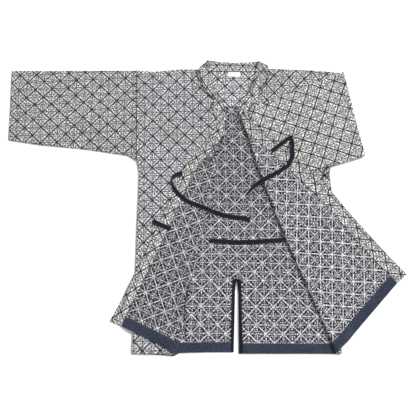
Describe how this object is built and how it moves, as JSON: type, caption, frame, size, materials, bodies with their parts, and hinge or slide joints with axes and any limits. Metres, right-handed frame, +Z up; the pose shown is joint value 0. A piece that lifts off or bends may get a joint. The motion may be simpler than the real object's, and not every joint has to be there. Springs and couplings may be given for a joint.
{
  "type": "kendo jacket",
  "caption": "Quilted cotton training jacket laid open on its back, a sleeve folded in, fronts turned back, with a wide collar band, slit hem, navy facings and tie tapes.",
  "frame": {"origin": "on the back panel's underside where it rests, on the centre back line, midway between hem and shoulder", "axes": "+Z up from the surface, +Y from hem to collar, +X to the viewer's right, the wearer's left"},
  "size_m": [1.1093, 0.8319, 0.0132],
  "materials": {
    "quilted_cotton": "matt quilted weave, light outside and dark inside",
    "navy_cotton": "matt twill",
    "white_label": "matt woven"
  },
  "bodies": {
    "root": {"back": "quilted_cotton", "yoke_lining": "quilted_cotton", "front_right": "quilted_cotton", "hem_facing_front_right": "navy_cotton", "collar_right": "quilted_cotton", "front_left": "quilted_cotton", "hem_facing_front_left": "navy_cotton", "collar_left": "quilted_cotton", "collar_back": "quilted_cotton", "hem_facing_back_right": "navy_cotton", "hem_facing_back_left": "navy_cotton", "slit_binding": "navy_cotton", "sleeve_right": "quilted_cotton", "sleeve_left": "quilted_cotton", "tie_upper_right": "navy_cotton", "tie_lower_right": "navy_cotton", "tie_upper_left": "navy_cotton", "tie_inner_left": "navy_cotton", "neck_label": "white_label"}
  },
  "joints": []
}
